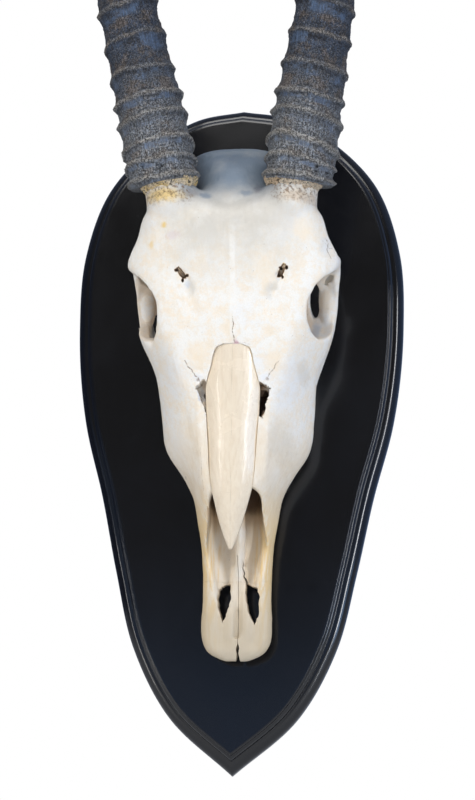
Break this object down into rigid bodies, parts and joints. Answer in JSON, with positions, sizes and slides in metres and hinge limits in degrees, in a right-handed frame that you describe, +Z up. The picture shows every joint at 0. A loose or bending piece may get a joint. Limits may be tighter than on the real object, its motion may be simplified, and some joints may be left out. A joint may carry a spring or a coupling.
{
  "type": "waterbuck skull and horns on a wall shield",
  "caption": "Ringed, forward-curving antelope horns and bleached upper skull fixed to a black moulded wooden wall shield.",
  "frame": {"origin": "middle of the shield's back face, which touches the wall", "axes": "+X to the right of someone facing the mount, +Y into the wall, +Z up; the skull and horns stand out along -Y"},
  "size_m": [0.3224, 0.4626, 1.0093],
  "materials": {
    "bleached_bone": "dry bleached bone, ivory to cream, faintly polished on the ridges",
    "horn_sheath": "grey-brown keratin, rough in the valleys, browner on the rings",
    "black_lacquer": "black gloss lacquer over wood, with dust specks",
    "hanger_steel": "plain bright-plated steel"
  },
  "bodies": {
    "root": {"shield": "black_lacquer", "hanger_plate": "hanger_steel", "cranium": "bleached_bone", "nasal_left": "bleached_bone", "nasal_right": "bleached_bone", "premaxilla_left": "bleached_bone", "premaxilla_right": "bleached_bone", "horn_left": "horn_sheath", "horn_right": "horn_sheath"}
  },
  "joints": []
}
